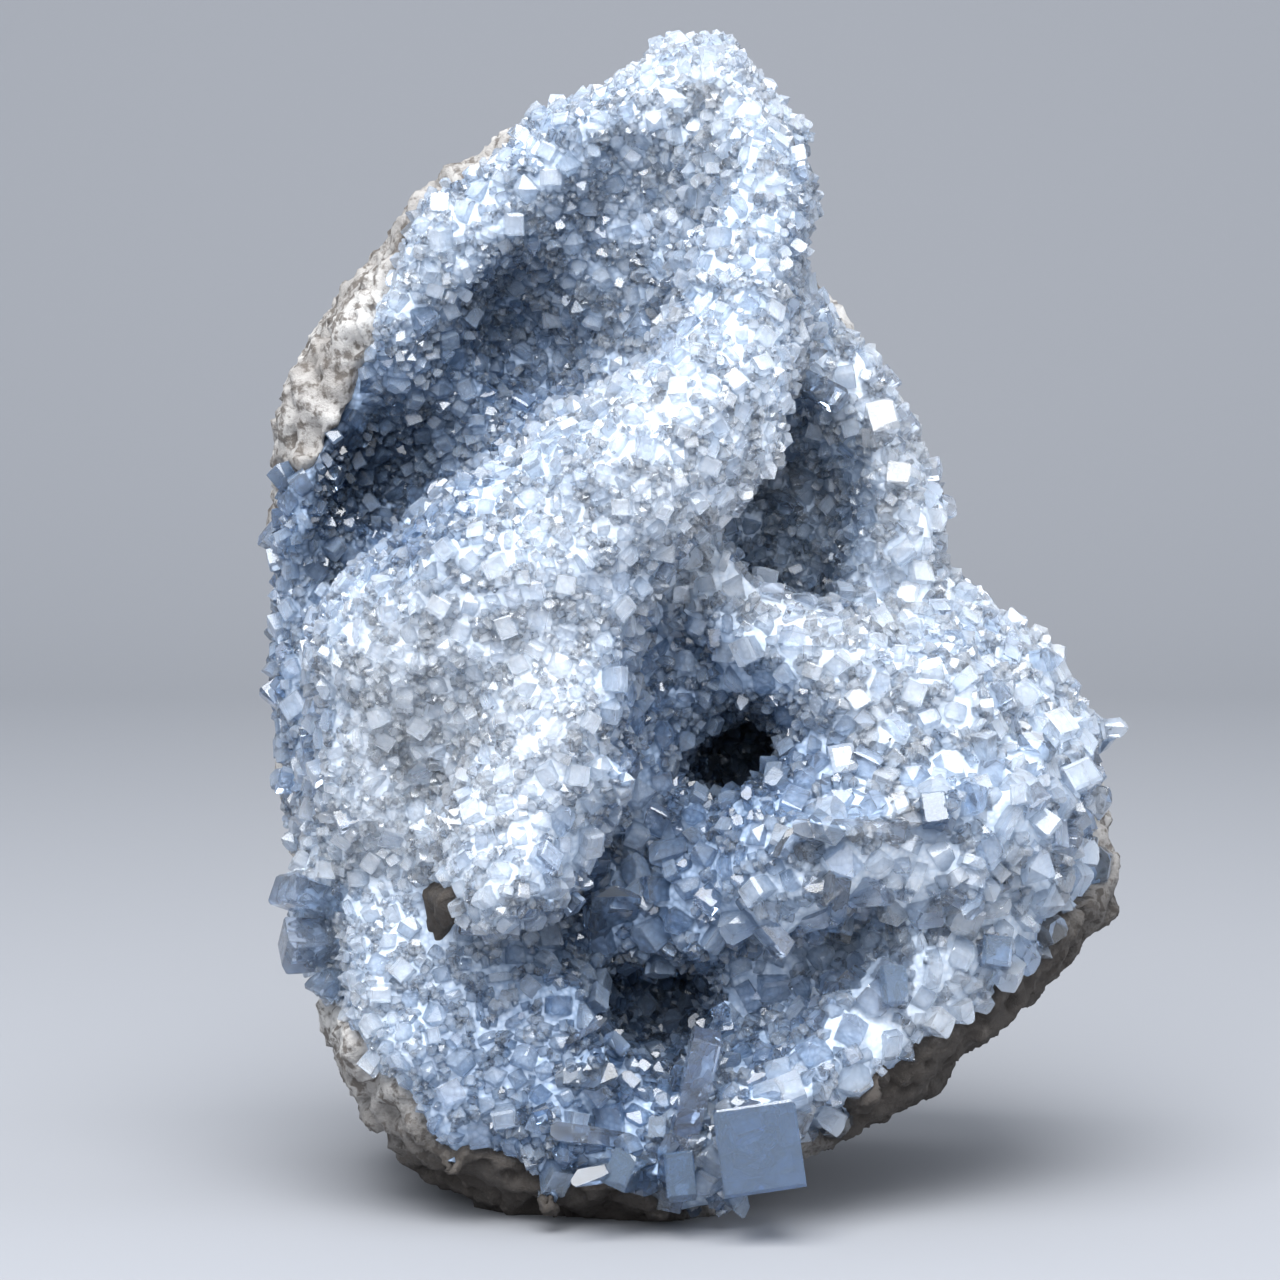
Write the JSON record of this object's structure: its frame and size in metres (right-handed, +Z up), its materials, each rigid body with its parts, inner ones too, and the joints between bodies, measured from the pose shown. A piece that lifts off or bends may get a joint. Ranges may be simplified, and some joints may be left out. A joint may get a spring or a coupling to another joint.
{
  "type": "celestite geode specimen",
  "caption": "Broken geode of pale rock with two deep hollows and a thick ridge, lined all over its front with pale blue celestite crystals; stands on a small flat foot.",
  "frame": {"origin": "middle of the bounding box at its bottom, on the floor under the flat foot", "axes": "+Z up, the longest extent; +Y away from the viewer, towards the plain back of the rock; +X to the viewer's right"},
  "size_m": [0.1464, 0.1196, 0.1931],
  "materials": {
    "rind": "rough pitted sedimentary rind, matt",
    "celestite": "pale blue translucent crystals with flat glassy faces"
  },
  "bodies": {
    "root": {"rock_shell": "rind", "crystal_crust": "celestite"}
  },
  "joints": []
}
